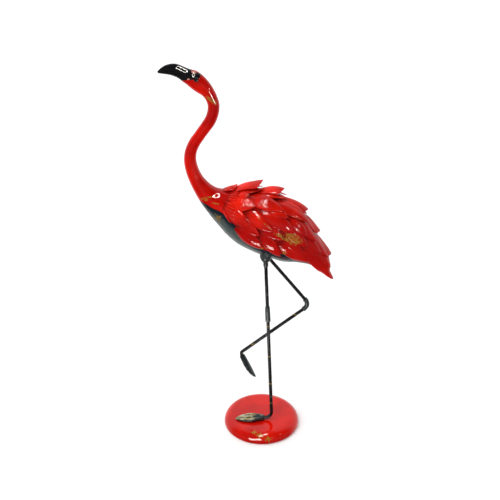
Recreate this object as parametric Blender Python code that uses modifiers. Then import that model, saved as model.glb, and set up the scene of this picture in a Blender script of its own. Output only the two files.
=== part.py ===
"""A tall flamingo sculpture on one leg: a cast bird with leaf-shaped feathers, two legs of round rod
with sleeved knees, cast feet, and a domed round base.

The bird looks along -X, +Z is up, and the origin is the centre of the base's underside.
"""
import math

import bmesh
import bpy
import numpy as np
from mathutils import Matrix, Vector

# Driving dimensions, in metres.
BASE_RADIUS = 0.0675
BASE_THICKNESS = 0.018
BASE_SHOULDER = 0.0155       # how far the rounded edge reaches in from the rim
BASE_TUCK = 0.0025           # how far the underside stands in from the rim

ROD_RADIUS = 0.003
LEG_SPREAD = 0.040           # across the bird, from one leg to the other
SEAT_GAP = 0.0003            # between pieces that seat in or on each other
SOCKET_WALL = 0.0012         # metal of a foot around the rod where it plugs in
SOCKET_DEPTH = 0.012

FOOT_LENGTH = 0.051
FOOT_WIDTH = 0.0195
HEEL_BACK = 0.004            # from the base's centre back to the heel of the standing foot
HEEL_RUN = 0.002             # straight rod between the ankle's bend and the heel
ANKLE_BEND = 0.0115          # centreline radius of the bend above the standing foot
RAISED_ANKLE_BEND = 0.006

STANDING_THIGH = 0.0895      # hip to knee, then knee to the corner of the ankle
STANDING_SHIN = 0.2135
RAISED_THIGH = 0.120
RAISED_SHIN = 0.1545
RAISED_HIP_BACK = 0.0025     # how much nearer the tail the raised leg's hip sits
# Directions in the bird's mid-plane, turned from straight down towards the tail.
STANDING_LEAN = math.radians(2.5)
STANDING_FOOT_TURN = math.radians(-90)
RAISED_THIGH_TURN = math.radians(38.6)
RAISED_SHIN_TURN = math.radians(-50.8)
RAISED_FOOT_TURN = math.radians(24)

SLEEVE_LENGTH = 0.028        # of the straight knee sleeve, wider at its lower end
SLEEVE_WALL = 0.0008
SLEEVE_LOWER_WALL = 0.0013
SLEEVE_WEB = 0.003           # metal left between its two sockets
ELBOW_BEND = 0.012           # centreline radius of the bent knee sleeve
ELBOW_RUN = 0.002            # straight run past that bend at each end
ELBOW_SOCKET_DEPTH = 0.005
LIP_LENGTH = 0.003           # flared lips at the elbow's two mouths

FIGURE_HEIGHT = 0.316        # the casting, from its hip knobs' undersides to the top of the head
KNOB_RADIUS = 0.0104
KNOB_HEIGHT = 0.027
COLLAR_WALL = 0.0008         # ring round a rod just under its hip knob
COLLAR_LENGTH = 0.0075

# The casting's sections from beak to tail, as shares of its height: towards the tail and up from the
# hip knobs' undersides to the section's centre, then half its height and half its width.
SECTIONS = [
    (-0.512, 0.957, 0.005, 0.005),
    (-0.489, 0.964, 0.017, 0.014),
    (-0.464, 0.969, 0.025, 0.019),
    (-0.435, 0.968, 0.030, 0.022),
    (-0.405, 0.957, 0.031, 0.024),
    (-0.377, 0.941, 0.035, 0.029),
    (-0.345, 0.924, 0.042, 0.035),
    (-0.314, 0.898, 0.041, 0.035),
    (-0.283, 0.868, 0.033, 0.031),
    (-0.263, 0.834, 0.029, 0.028),
    (-0.254, 0.790, 0.029, 0.029),
    (-0.270, 0.730, 0.029, 0.029),
    (-0.316, 0.665, 0.028, 0.028),
    (-0.357, 0.604, 0.029, 0.029),
    (-0.375, 0.540, 0.031, 0.031),
    (-0.364, 0.469, 0.034, 0.034),
    (-0.335, 0.405, 0.040, 0.040),
    (-0.287, 0.342, 0.057, 0.054),
    (-0.222, 0.294, 0.090, 0.078),
    (-0.153, 0.257, 0.127, 0.101),
    (-0.078, 0.219, 0.153, 0.116),
    (-0.002, 0.184, 0.159, 0.120),
    (0.071, 0.142, 0.153, 0.117),
    (0.137, 0.093, 0.129, 0.103),
    (0.201, 0.049, 0.089, 0.079),
    (0.256, 0.003, 0.054, 0.056),
    (0.297, -0.045, 0.031, 0.038),
    (0.319, -0.085, 0.011, 0.018),
]
BREAST_SECTION = 16          # where the feathered body starts, in the list above

# Feathers along the spine: places of root and tip along the body, then the width and how far the
# tip stands off the body, both as shares of the figure's height.
SPINE_FEATHERS = [
    (0.120, 0.212, 0.048, 0.036),
    (0.200, 0.345, 0.060, 0.067),
    (0.340, 0.485, 0.060, 0.057),
    (0.480, 0.635, 0.060, 0.040),
    (0.630, 0.785, 0.060, 0.038),
    (0.770, 0.920, 0.060, 0.035),
    (0.900, 1.070, 0.060, 0.002),
]
# Feathers of one side, and the other side mirrors them: the root's place along the body and its
# angle from the spine in degrees, the same two for the tip, and the width as a share of the height.
# Upper ones come last, because they lie on the lower ones.
SIDE_FEATHERS = [
    (0.34, 105, 0.53, 120, 0.065),
    (0.47, 92, 0.66, 118, 0.060),
    (0.61, 90, 0.84, 104, 0.065),
    (0.70, 70, 1.04, 78, 0.075),
    (0.22, 72, 0.38, 90, 0.060),
    (0.34, 66, 0.52, 80, 0.056),
    (0.42, 56, 0.63, 62, 0.060),
    (0.56, 60, 0.76, 66, 0.058),
    (0.73, 30, 0.92, 24, 0.055),
    (0.22, 50, 0.36, 47, 0.056),
    (0.32, 30, 0.52, 40, 0.064),
    (0.48, 27, 0.67, 22, 0.060),
    (0.61, 36, 0.79, 36, 0.056),
    (0.22, 16, 0.37, 8, 0.045),
    (0.35, 14, 0.52, 8, 0.047),
    (0.18, 29, 0.27, 32, 0.044),
    (0.19, 50, 0.28, 52, 0.042),
    (0.20, 74, 0.30, 83, 0.044),
]
SIDE_LIFT = 0.028            # how far a tip beside the spine stands off the body, as a share
NO_LIFT_ANGLE = 150          # in degrees from the spine, where that lift would have run out
FEATHER_THICKNESS = 0.0022
FEATHER_SUNK = 0.35          # how deep its root lies in the body, as a share of its thickness
FEATHER_CROWN = 0.35         # how much higher its middle is than its edges, as the same share
EYE_PLACE = (-0.330, 0.928)  # towards the tail and up from those undersides, as the same shares
EYE_RADIUS = 0.0036
EYE_SUNK = 0.4               # how deep a bead's centre sits in the head, as a share of its radius

# A foot's webbed part, from the end of its socket to the toes: place along it, then its width as a
# share of its widest and its thickness as a share of the shaft's.
WEB_SECTIONS = [
    (0.16, 0.92, 0.72),
    (0.39, 1.00, 0.55),
    (0.65, 0.76, 0.42),
    (0.85, 0.42, 0.30),
    (1.00, 0.10, 0.20),
]
TOES = 3
TOE_GROOVE = 0.22            # depth of the grooves between the toes, as a share of the thickness

RED = (0.62, 0.010, 0.006, 1.0)
SLATE = (0.035, 0.040, 0.042, 1.0)

# How finely round shapes are cut into flats.
RING_SIDES = 18
FEATHER_STEPS = 5
ROD_STEPS = 2
BEND_STEPS = 6
SHOULDER_STEPS = 7
BASE_SIDES = 36
FOOT_SIDES = 20
SLEEVE_SIDES = 20
WELD = 0.000001              # points nearer than this are one point
SMOOTH_UNDER = math.radians(40)


def clear_scene():
    for thing in list(bpy.data.objects):
        bpy.data.objects.remove(thing, do_unlink=True)


def finish_material(name, colour, roughness, metallic):
    made = bpy.data.materials.new(name)
    made.use_nodes = True
    shader = made.node_tree.nodes["Principled BSDF"]
    shader.inputs["Base Color"].default_value = colour
    shader.inputs["Roughness"].default_value = roughness
    shader.inputs["Metallic"].default_value = metallic
    return made


def new_object(name, mesh, material, home):
    made = bpy.data.objects.new(name, mesh)
    home.objects.link(made)
    if material:
        mesh.materials.append(material)
    return made


def mesh_from(shape, name):
    bmesh.ops.recalc_face_normals(shape, faces=shape.faces)
    mesh = bpy.data.meshes.new(name)
    shape.to_mesh(mesh)
    shape.free()
    mesh.shade_smooth()
    mesh.set_sharp_from_angle(angle=SMOOTH_UNDER)
    return mesh


def extend_ring(shape, ring, points):
    """Extrudes the last ring of a loft and moves the new ring to the given points."""
    count = len(ring)
    edges = [shape.edges.get((ring[i], ring[(i + 1) % count])) for i in range(count)]
    grown = bmesh.ops.extrude_edge_only(shape, edges=edges)["geom"]
    twin = {tuple(v.co): v for v in grown if isinstance(v, bmesh.types.BMVert)}
    following = [twin[tuple(v.co)] for v in ring]
    for vertex, point in zip(following, points):
        vertex.co = point
    return following


def loft(rings):
    """A closed bmesh through rings of points that all have the same count."""
    shape = bmesh.new()
    ring = bmesh.ops.create_circle(shape, segments=len(rings[0]), radius=1.0)["verts"]
    for vertex, point in zip(ring, rings[0]):
        vertex.co = point
    shape.faces.new(list(reversed(ring)))
    for points in rings[1:]:
        ring = extend_ring(shape, ring, points)
    shape.faces.new(ring)
    return shape


def smooth_through(knots, at):
    """Values of a smooth curve through evenly numbered knots, at a real-valued place among them."""
    rows = np.array(knots, float)
    last = len(rows) - 1
    place = min(max(at, 0.0), float(last))
    i = min(int(place), last - 1)
    u = place - i
    before, after = rows[max(i - 1, 0)], rows[min(i + 2, last)]
    start, end = rows[i], rows[i + 1]
    leave = (end - before) / (2 if i > 0 else 1)
    arrive = (after - start) / (2 if i + 2 <= last else 1)
    return (
        (2 * u**3 - 3 * u**2 + 1) * start
        + (u**3 - 2 * u**2 + u) * leave
        + (3 * u**2 - 2 * u**3) * end
        + (u**3 - u**2) * arrive
    )


class Figure:
    """The casting's surface: a place along it, an angle round it from the spine, and a height off it."""

    def __init__(self, hip):
        self.hip = Vector(hip)
        self.height = FIGURE_HEIGHT
        self.last = len(SECTIONS) - 1
        steps = np.linspace(BREAST_SECTION, self.last, 200)
        centres = [self.section(s)[0] for s in steps]
        runs = [0.0]
        for a, b in zip(centres, centres[1:]):
            runs.append(runs[-1] + (b - a).length)
        self.body_length = runs[-1]
        self.body_steps, self.body_runs = steps, runs

    def section(self, at):
        """Centre, direction towards the spine, half height and half width, past the tail too."""
        x, z, high, wide = smooth_through(SECTIONS, at)
        step = 0.01
        x0, z0 = smooth_through(SECTIONS, min(at, self.last) - step)[:2]
        x1, z1 = smooth_through(SECTIONS, min(at, self.last - step) + step)[:2]
        along = Vector((x1 - x0, 0, z1 - z0)).normalized()
        centre = self.hip + Vector((x, 0, z)) * self.height
        spine = Vector((-along.z, 0, along.x))
        return centre, spine, high * self.height, wide * self.height

    def body_place(self, share):
        """The section number at a share of the body's length, and how far past the tail it is."""
        run = share * self.body_length
        beyond = max(0.0, run - self.body_length)
        return float(np.interp(run, self.body_runs, self.body_steps)), beyond

    def point(self, at, angle, off=0.0, beyond=0.0):
        centre, spine, high, wide = self.section(at)
        along = Vector((spine.z, 0, -spine.x))
        c, s = math.cos(angle), math.sin(angle)
        outward = (spine * c / high + Vector((0, -1, 0)) * s / wide).normalized()
        return centre + spine * high * c + Vector((0, -wide * s, 0)) + outward * off + along * beyond

    def on_body(self, share, angle, off=0.0):
        at, beyond = self.body_place(share)
        return self.point(at, angle, off, beyond)

    def ring(self, at, sides):
        return [self.point(at, 2 * math.pi * i / sides) for i in range(sides)]


def leaf_outline(u):
    """Half width of a feather from root (0) to tip (1), as a share of its widest."""
    return max(0.06, math.sin(math.pi * min(1.0, 0.12 + 0.88 * u) ** 1.15)) ** 0.75


def feather(figure, root, tip, width, lift):
    """A leaf that follows the body from its sunk root and lifts off towards its tip.

    Root and tip are each a place along the body and an angle from the spine.
    """
    shape = bmesh.new()
    bmesh.ops.create_grid(shape, x_segments=FEATHER_STEPS, y_segments=2, size=1.0)
    for vertex in shape.verts:
        u = (vertex.co.x + 1) / 2
        v = vertex.co.y
        share = root[0] + (tip[0] - root[0]) * u
        angle = root[1] + (tip[1] - root[1]) * u
        here = figure.on_body(share, angle)
        round_body = (figure.on_body(share, angle + 0.05) - here).length / 0.05
        crown = FEATHER_CROWN * (1 - abs(v)) * math.sin(math.pi * u)
        off = lift * u + (crown - FEATHER_SUNK) * FEATHER_THICKNESS
        aside = v * width / 2 * leaf_outline(u) / max(round_body, 0.35 * width)
        vertex.co = figure.on_body(share, angle + aside, off)
    # The grid's faces look into the body here, so the thickness grows away from it.
    shape.normal_update()
    bmesh.ops.solidify(shape, geom=list(shape.faces), thickness=FEATHER_THICKNESS)
    return shape


def feathers(figure):
    height = figure.height
    made = []
    for root_place, tip_place, width, lift in SPINE_FEATHERS:
        made.append(feather(figure, (root_place, 0.0), (tip_place, 0.0), width * height, lift * height))
    for root_place, root_angle, tip_place, tip_angle, width in SIDE_FEATHERS:
        for side in (1, -1):
            root = (root_place, side * math.radians(root_angle))
            tip = (tip_place, side * math.radians(tip_angle))
            lift = SIDE_LIFT * (1 - root_angle / NO_LIFT_ANGLE)
            made.append(feather(figure, root, tip, width * height, lift * height))
    return made


def rod_path(points, bends):
    """Points along a rod that runs straight between corners, with an arc of the given radius at each."""
    path = [points[0]]
    for corner, radius, before, after in zip(points[1:-1], bends, points, points[2:]):
        come, go = (before - corner).normalized(), (after - corner).normalized()
        half = come.angle(go) / 2
        back = radius / math.tan(half)
        centre = corner + (come + go).normalized() * radius / math.sin(half)
        start = corner + come * back - centre
        axis = start.cross(corner + go * back - centre).normalized()
        sweep = math.pi - 2 * half
        for i in range(BEND_STEPS + 1):
            path.append(centre + Matrix.Rotation(sweep * i / BEND_STEPS, 3, axis) @ start)
    path.append(points[-1])
    return path


def tube(name, path, radius, material, home):
    """A round rod along a path, as a curve with filled caps."""
    curve = bpy.data.curves.new(name, "CURVE")
    curve.dimensions = "3D"
    curve.bevel_depth = radius
    curve.bevel_resolution = ROD_STEPS
    curve.use_fill_caps = True
    spline = curve.splines.new("POLY")
    spline.points.add(len(path) - 1)
    for knot, point in zip(spline.points, path):
        knot.co = (*point, 1.0)
    made = bpy.data.objects.new(name, curve)
    home.objects.link(made)
    curve.materials.append(material)
    return made


def as_mesh(thing, home):
    """The same rod as a mesh with its caps welded, so that it can be cut or can cut."""
    bpy.context.view_layer.update()
    graph = bpy.context.evaluated_depsgraph_get()
    mesh = bpy.data.meshes.new_from_object(thing.evaluated_get(graph))
    shape = bmesh.new()
    shape.from_mesh(mesh)
    bmesh.ops.remove_doubles(shape, verts=shape.verts, dist=WELD)
    shape.to_mesh(mesh)
    shape.free()
    name, world = thing.name, thing.matrix_world.copy()
    bpy.data.objects.remove(thing, do_unlink=True)
    made = bpy.data.objects.new(name, mesh)
    made.matrix_world = world
    home.objects.link(made)
    return made


def combine(target, other, operation):
    modifier = target.modifiers.new(operation.lower(), "BOOLEAN")
    modifier.operation = operation
    modifier.solver = "EXACT"
    if isinstance(other, bpy.types.Collection):
        modifier.operand_type = "COLLECTION"
        modifier.collection = other
    else:
        modifier.object = other


def fill_pockets(thing):
    """Keeps only the outermost skin, so that no sealed pocket is left between overlapping feathers."""
    shape = bmesh.new()
    shape.from_mesh(thing.data)
    bmesh.ops.dissolve_degenerate(shape, edges=shape.edges, dist=WELD)
    skins, seen = [], set()
    for face in shape.faces:
        if face in seen:
            continue
        skin, waiting = [], [face]
        seen.add(face)
        while waiting:
            current = waiting.pop()
            skin.append(current)
            beside = {f for edge in current.edges if len(edge.link_faces) == 2 for f in edge.link_faces}
            waiting += beside - seen
            seen |= beside
        skins.append(skin)
    skins.sort(key=lambda skin: sum(face.calc_area() for face in skin))
    inner = [face for skin in skins[:-1] for face in skin]
    bmesh.ops.delete(shape, geom=inner, context="FACES")
    shape.to_mesh(thing.data)
    shape.free()
    thing.data.shade_smooth()
    thing.data.set_sharp_from_angle(angle=SMOOTH_UNDER)
    return thing


def helper_collection(name):
    made = bpy.data.collections.new(name)
    bpy.context.scene.collection.children.link(made)
    return made


def as_helper(thing):
    thing.hide_render = True
    thing.display_type = "WIRE"
    return thing


def socket_cutter(name, mouth, inward, depth, cutters):
    """A round hole for a rod, from just outside its mouth to its blind end."""
    path = [mouth - inward * depth, mouth + inward * depth]
    hole = tube(name, path, ROD_RADIUS + SEAT_GAP, None, cutters)
    return as_helper(as_mesh(hole, cutters))


def cone(name, top, bottom, top_radius, bottom_radius, home):
    """A closed cone or cylinder between two points."""
    shape = bmesh.new()
    run = bottom - top
    turn = Vector((0, 0, 1)).rotation_difference(run).to_matrix().to_4x4()
    bmesh.ops.create_cone(
        shape, cap_ends=True, segments=SLEEVE_SIDES, radius1=top_radius, radius2=bottom_radius,
        depth=run.length, matrix=Matrix.Translation((top + bottom) / 2) @ turn,
    )
    return new_object(name, mesh_from(shape, name), None, home)


def make_base(home, material):
    """The domed disc, turned about its axis: a flat top, a quarter-round shoulder and a tucked foot."""
    profile = [(0.0, BASE_THICKNESS)]
    for i in range(SHOULDER_STEPS + 1):
        turn = math.pi / 2 * i / SHOULDER_STEPS
        profile.append((
            BASE_RADIUS - BASE_SHOULDER * (1 - math.sin(turn)),
            BASE_TUCK + (BASE_THICKNESS - BASE_TUCK) * math.cos(turn),
        ))
    profile += [(BASE_RADIUS - BASE_TUCK, 0.0), (0.0, 0.0)]
    return turned("base", profile, BASE_SIDES, material, home)


def make_foot(name, heel, forward, up, home, cutters, material):
    """A webbed foot of three ridged toes, with a socket for the rod in its heel.

    Heel is the point on the rod's axis where it enters, forward points to the toes.
    """
    side = up.cross(forward)
    shaft = ROD_RADIUS + SEAT_GAP + SOCKET_WALL
    shaft_end = SOCKET_DEPTH + SOCKET_WALL
    sections = [(0.0, shaft, 2 * shaft, 0.0), (shaft_end, shaft, 2 * shaft, 0.0)]
    for share, wide, tall in WEB_SECTIONS:
        place = shaft_end + share * (FOOT_LENGTH - shaft_end)
        sections.append((place, wide * FOOT_WIDTH / 2, tall * 2 * shaft, TOE_GROOVE * math.sin(math.pi * share)))
    rings = []
    for place, half_width, thickness, groove in sections:
        ring = []
        for i in range(FOOT_SIDES):
            turn = 2 * math.pi * i / FOOT_SIDES
            across, level = math.sin(turn), (1 + math.cos(turn)) / 2
            between_toes = (1 - math.cos(TOES * math.pi * across)) / 2
            height = level * thickness * (1 - groove * level * between_toes) - shaft
            ring.append(heel + forward * place + side * (across * half_width) + up * height)
        rings.append(ring)
    foot = new_object(name, mesh_from(loft(rings), name), material, home)
    combine(foot, socket_cutter(name + "_socket", heel, forward, SOCKET_DEPTH, cutters), "DIFFERENCE")
    return foot


def turned(name, profile, steps, material, home):
    """A solid turned about Z, from a profile that runs top to bottom on its outer side."""
    shape = bmesh.new()
    knots = [shape.verts.new((x, 0, z)) for x, z in profile]
    for a, b in zip(knots, knots[1:]):
        shape.edges.new((a, b))
    mesh = bpy.data.meshes.new(name)
    shape.to_mesh(mesh)
    shape.free()
    made = new_object(name, mesh, material, home)
    screw = made.modifiers.new("turn", "SCREW")
    screw.steps = screw.render_steps = steps
    screw.use_merge_vertices = True
    screw.merge_threshold = WELD
    screw.use_smooth_shade = True
    return made


def make_straight_knee(name, knee, way, home, material):
    """A sleeve over two rod ends in line, with a blind socket at each end and a tapered top.

    Way points down the leg. It returns how far the rods stop from the knee's centre.
    """
    bore = ROD_RADIUS + SEAT_GAP
    half, web = SLEEVE_LENGTH / 2, SLEEVE_WEB / 2
    sleeve = turned(name, [
        (0.0, web),
        (bore, web),
        (bore, half),
        (bore + SLEEVE_WALL / 2, half),
        (bore + SLEEVE_WALL, half * 0.8),
        (bore + SLEEVE_LOWER_WALL, -half * 0.94),
        (bore + SLEEVE_LOWER_WALL / 2, -half),
        (bore, -half),
        (bore, -web),
        (0.0, -web),
    ], SLEEVE_SIDES, material, home)
    sleeve.location = knee
    sleeve.rotation_euler.y = math.atan2(-way.x, -way.z)
    return web + SEAT_GAP


def make_elbow_knee(name, knee, up_leg, down_leg, home, cutters, material):
    """A bent sleeve over two rod ends, with a blind socket and a flared lip at each mouth.

    It returns how far the rods stop from the corner where their axes meet.
    """
    outer = ROD_RADIUS + SEAT_GAP + SLEEVE_WALL
    turn = math.pi - up_leg.angle(down_leg)
    reach = bend_setback(ELBOW_BEND, turn) + ELBOW_RUN
    ends = [knee + up_leg * reach, knee + down_leg * reach]
    path = rod_path([ends[0], knee, ends[1]], [ELBOW_BEND])
    sleeve = as_mesh(tube(name, path, outer, material, home), home)
    flare = outer + SLEEVE_LOWER_WALL - SLEEVE_WALL
    for tag, end, way in (("upper", ends[0], up_leg), ("lower", ends[1], down_leg)):
        # The lip reaches a little past the tube's own end, so that their faces don't coincide.
        mouth = end + way * SEAT_GAP
        lip = cone(f"{name}_{tag}_lip", mouth - way * LIP_LENGTH, mouth, outer, flare, cutters)
        combine(sleeve, as_helper(lip), "UNION")
        hole = socket_cutter(f"{name}_{tag}_socket", mouth, -way, ELBOW_SOCKET_DEPTH, cutters)
        combine(sleeve, hole, "DIFFERENCE")
    return reach - ELBOW_SOCKET_DEPTH + 2 * SEAT_GAP


def down(turn):
    """The direction that hangs straight down, turned towards the tail."""
    return Vector((math.sin(turn), 0, -math.cos(turn)))


def bend_setback(radius, turn):
    """From the corner of a bend back to where its arc starts."""
    return radius * math.tan(turn / 2)


def ankle_to_heel(bend, shin_way, foot_way):
    return bend_setback(bend, shin_way.angle(foot_way)) + HEEL_RUN


def make_leg(name, hip, ways, thigh, shin, ankle_bend, elbow, home, cutters, metal):
    """Thigh rod, knee sleeve, shin rod with its ankle bend, and foot, from the hip down.

    The hip is where the thigh's axis meets the underside of its collar.
    """
    thigh_way, shin_way, foot_way = ways
    knee = hip + thigh_way * thigh
    ankle = knee + shin_way * shin
    sleeve = name + "_knee_sleeve"
    if elbow:
        plug = make_elbow_knee(sleeve, knee, -thigh_way, shin_way, home, cutters, metal)
    else:
        plug = make_straight_knee(sleeve, knee, thigh_way, home, metal)
    into = SOCKET_DEPTH - SEAT_GAP
    tube(name + "_thigh_rod", [hip - thigh_way * into, knee - thigh_way * plug], ROD_RADIUS, metal, home)
    heel = ankle + foot_way * ankle_to_heel(ankle_bend, shin_way, foot_way)
    path = rod_path([knee + shin_way * plug, ankle, heel + foot_way * into], [ankle_bend])
    tube(name + "_shin_rod", path, ROD_RADIUS, metal, home)
    instep = foot_way.cross(Vector((0, -1, 0))).normalized()
    make_foot(name + "_foot", heel, foot_way, instep, home, cutters, metal)


def hip_knob(name, hip, way, joined, cutters):
    """The rounded knob under the belly that a thigh rod plugs into, with a collar round its mouth."""
    underside = hip - way * COLLAR_LENGTH
    half = KNOB_HEIGHT / 2
    knob = bmesh.new()
    bmesh.ops.create_uvsphere(knob, u_segments=16, v_segments=9, radius=1.0)
    bmesh.ops.scale(knob, vec=(KNOB_RADIUS, KNOB_RADIUS, half), verts=knob.verts)
    bmesh.ops.translate(knob, vec=underside + Vector((0, 0, half * 0.82)), verts=knob.verts)
    new_object(name + "_knob", mesh_from(knob, name + "_knob"), None, joined)
    ring = ROD_RADIUS + SEAT_GAP + COLLAR_WALL
    cone(name + "_collar", underside - way * COLLAR_LENGTH, hip, ring, ring, joined)
    return socket_cutter(name + "_socket", hip, -way, SOCKET_DEPTH, cutters)


def eye(name, figure, side, joined):
    """A round bead half sunk in the side of the head."""
    forward, up = EYE_PLACE
    target = figure.hip + Vector((forward, 0, up)) * figure.height
    places = [figure.point(at / 10, side * math.radians(angle))
              for at in range(50, 90) for angle in range(50, 130, 4)]
    place = min(places, key=lambda p: (p.x - target.x) ** 2 + (p.z - target.z) ** 2)
    inward = Vector((0, side, 0))
    bead = bmesh.new()
    bmesh.ops.create_uvsphere(bead, u_segments=12, v_segments=8, radius=EYE_RADIUS,
                              matrix=Matrix.Translation(place + inward * EYE_SUNK * EYE_RADIUS))
    return new_object(name, mesh_from(bead, name), None, joined)


def make_bird(hips, figure, home, joined, cutters, material):
    """Beak, head, neck and body as one loft, with the feathers, eyes and hip knobs fused on."""
    places = [i / 2 for i in range(2 * figure.last + 1)]
    rings = [figure.ring(at, RING_SIDES) for at in places]
    bird = new_object("bird", mesh_from(loft(rings), "bird"), material, home)
    for i, shape in enumerate(feathers(figure)):
        name = f"feather_{i:02d}"
        new_object(name, mesh_from(shape, name), None, joined)
    eye("left_eye", figure, 1, joined)
    eye("right_eye", figure, -1, joined)
    holes = [hip_knob(name, hip, way, joined, cutters) for name, hip, way in hips]
    for thing in joined.objects:
        as_helper(thing)
    combine(bird, joined, "UNION")
    for hole in holes:
        combine(bird, hole, "DIFFERENCE")
    return fill_pockets(as_mesh(bird, home))


def main():
    clear_scene()
    home = helper_collection("flamingo_sculpture")
    cutters = helper_collection("cutters")
    joined = helper_collection("fused_on")
    red = finish_material("red_lacquer", RED, 0.12, 0.0)
    slate = finish_material("slate_metal", SLATE, 0.35, 0.8)

    make_base(home, red)
    standing = [down(turn) for turn in (STANDING_LEAN, STANDING_LEAN, STANDING_FOOT_TURN)]
    raised = [down(turn) for turn in (RAISED_THIGH_TURN, RAISED_SHIN_TURN, RAISED_FOOT_TURN)]
    heel_height = BASE_THICKNESS + SEAT_GAP + ROD_RADIUS + SEAT_GAP + SOCKET_WALL
    heel = Vector((HEEL_BACK, -LEG_SPREAD / 2, heel_height))
    ankle = heel - standing[2] * ankle_to_heel(ANKLE_BEND, standing[1], standing[2])
    standing_hip = ankle - standing[0] * (STANDING_THIGH + STANDING_SHIN)
    raised_hip = standing_hip + Vector((RAISED_HIP_BACK, LEG_SPREAD, 0))

    make_leg("standing", standing_hip, standing, STANDING_THIGH, STANDING_SHIN, ANKLE_BEND, False,
             home, cutters, slate)
    make_leg("raised", raised_hip, raised, RAISED_THIGH, RAISED_SHIN, RAISED_ANKLE_BEND, True,
             home, cutters, slate)
    underside = standing_hip - standing[0] * COLLAR_LENGTH
    figure = Figure((underside.x, 0.0, underside.z))
    hips = [("standing_hip", standing_hip, standing[0]), ("raised_hip", raised_hip, raised[0])]
    make_bird(hips, figure, home, joined, cutters, red)


main()
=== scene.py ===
"""Finished surfaces of a tall lacquered flamingo that stands on one rod leg on a domed round base.

The bird looks along -X, its standing leg is on the side of -Y, and sizes are in metres.
"""
import math

import bmesh
import bpy
import numpy as np
from mathutils import Matrix, Vector, noise


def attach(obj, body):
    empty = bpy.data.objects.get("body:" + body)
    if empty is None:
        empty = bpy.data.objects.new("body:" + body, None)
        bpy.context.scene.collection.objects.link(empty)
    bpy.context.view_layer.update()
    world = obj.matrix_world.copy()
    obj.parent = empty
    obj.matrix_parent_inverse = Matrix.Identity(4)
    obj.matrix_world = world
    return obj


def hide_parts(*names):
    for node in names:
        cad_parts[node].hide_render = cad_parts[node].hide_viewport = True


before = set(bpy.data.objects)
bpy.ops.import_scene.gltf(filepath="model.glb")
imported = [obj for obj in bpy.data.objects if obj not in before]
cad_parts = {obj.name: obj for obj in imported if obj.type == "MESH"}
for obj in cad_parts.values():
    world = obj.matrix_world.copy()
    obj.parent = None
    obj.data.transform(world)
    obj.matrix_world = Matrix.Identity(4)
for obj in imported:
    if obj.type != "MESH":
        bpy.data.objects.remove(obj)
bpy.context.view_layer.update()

# Sizes that the metalwork shares.
BASE_RADIUS = 0.0675
BASE_THICKNESS = 0.018
BASE_SHOULDER = 0.0155
BASE_TUCK = 0.0025
ROD_RADIUS = 0.003
LEG_SPREAD = 0.040
SEAT_GAP = 0.0003
SOCKET_WALL = 0.0012
SOCKET_DEPTH = 0.012
FOOT_LENGTH = 0.051
FOOT_WIDTH = 0.0195
SLEEVE_WALL = 0.0008
SLEEVE_LOWER_WALL = 0.0013
SLEEVE_LENGTH = 0.028
SLEEVE_WEB = 0.003
ELBOW_BEND = 0.012
ELBOW_RUN = 0.002
ELBOW_SOCKET_DEPTH = 0.005
LIP_LENGTH = 0.003
HEEL_BACK = 0.004
HEEL_RUN = 0.002
KNOB_RADIUS = 0.0104
KNOB_HEIGHT = 0.027
COLLAR_WALL = 0.0008
COLLAR_LENGTH = 0.0075
FIGURE_HEIGHT = 0.316

# The legs. Each one's turns are those of its thigh, shin and foot from straight down, in degrees, and
# positive towards the tail.
STANDING_TURNS = (2.5, 2.5, -90)
STANDING_THIGH = 0.0895
STANDING_SHIN = 0.2135
STANDING_ANKLE_BEND = 0.0115
RAISED_TURNS = (38.6, -50.8, 24)
RAISED_THIGH = 0.120
RAISED_SHIN = 0.1545
RAISED_ANKLE_BEND = 0.006
HIP_STAGGER = 0.0025

# A foot from the end of its shaft to its tip: place, then width and thickness as shares of the whole
# foot's width and the shaft's.
WEB_SECTIONS = [
    (0.16, 1.08, 1.10),
    (0.39, 1.12, 0.98),
    (0.65, 0.98, 0.78),
    (0.85, 0.62, 0.54),
    (0.95, 0.32, 0.36),
    (1.00, 0.08, 0.20),
]
HEEL_SWELL = 0.90
HEEL_RISE = 0.12
TOE_GROOVE = 0.42
KNUCKLE_RISE = 0.06

# The casting's sections from beak to tail, as shares of its height: towards the tail and up from the
# hip knobs' undersides, then half its height and half its width.
SECTIONS = [
    (-0.512, 0.957, 0.005, 0.005),
    (-0.489, 0.964, 0.017, 0.014),
    (-0.464, 0.969, 0.025, 0.019),
    (-0.435, 0.968, 0.030, 0.022),
    (-0.405, 0.957, 0.031, 0.024),
    (-0.377, 0.941, 0.035, 0.029),
    (-0.345, 0.924, 0.042, 0.035),
    (-0.314, 0.898, 0.041, 0.035),
    (-0.283, 0.868, 0.033, 0.031),
    (-0.263, 0.834, 0.029, 0.028),
    (-0.254, 0.790, 0.029, 0.029),
    (-0.270, 0.730, 0.029, 0.029),
    (-0.316, 0.665, 0.028, 0.028),
    (-0.357, 0.604, 0.029, 0.029),
    (-0.375, 0.540, 0.031, 0.031),
    (-0.364, 0.469, 0.034, 0.034),
    (-0.335, 0.405, 0.040, 0.040),
    (-0.287, 0.342, 0.057, 0.054),
    (-0.222, 0.294, 0.090, 0.078),
    (-0.153, 0.257, 0.127, 0.101),
    (-0.078, 0.219, 0.153, 0.116),
    (-0.002, 0.184, 0.159, 0.120),
    (0.071, 0.142, 0.153, 0.117),
    (0.137, 0.093, 0.129, 0.103),
    (0.201, 0.049, 0.089, 0.079),
    (0.256, 0.003, 0.054, 0.056),
    (0.297, -0.045, 0.031, 0.038),
    (0.319, -0.085, 0.011, 0.018),
]
BREAST_SECTION = 16
HEAD_SECTIONS = 9
EYE_PLACE = (-0.330, 0.928)
EYE_RADIUS = 0.0036
# The mouth line: its angle from the spine and half width in degrees, its depth, and the section where it
# has faded out.
MOUTH_ANGLE = 104
MOUTH_SPREAD = 9
MOUTH_DEPTH = 0.0007
MOUTH_END = 6.2

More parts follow.
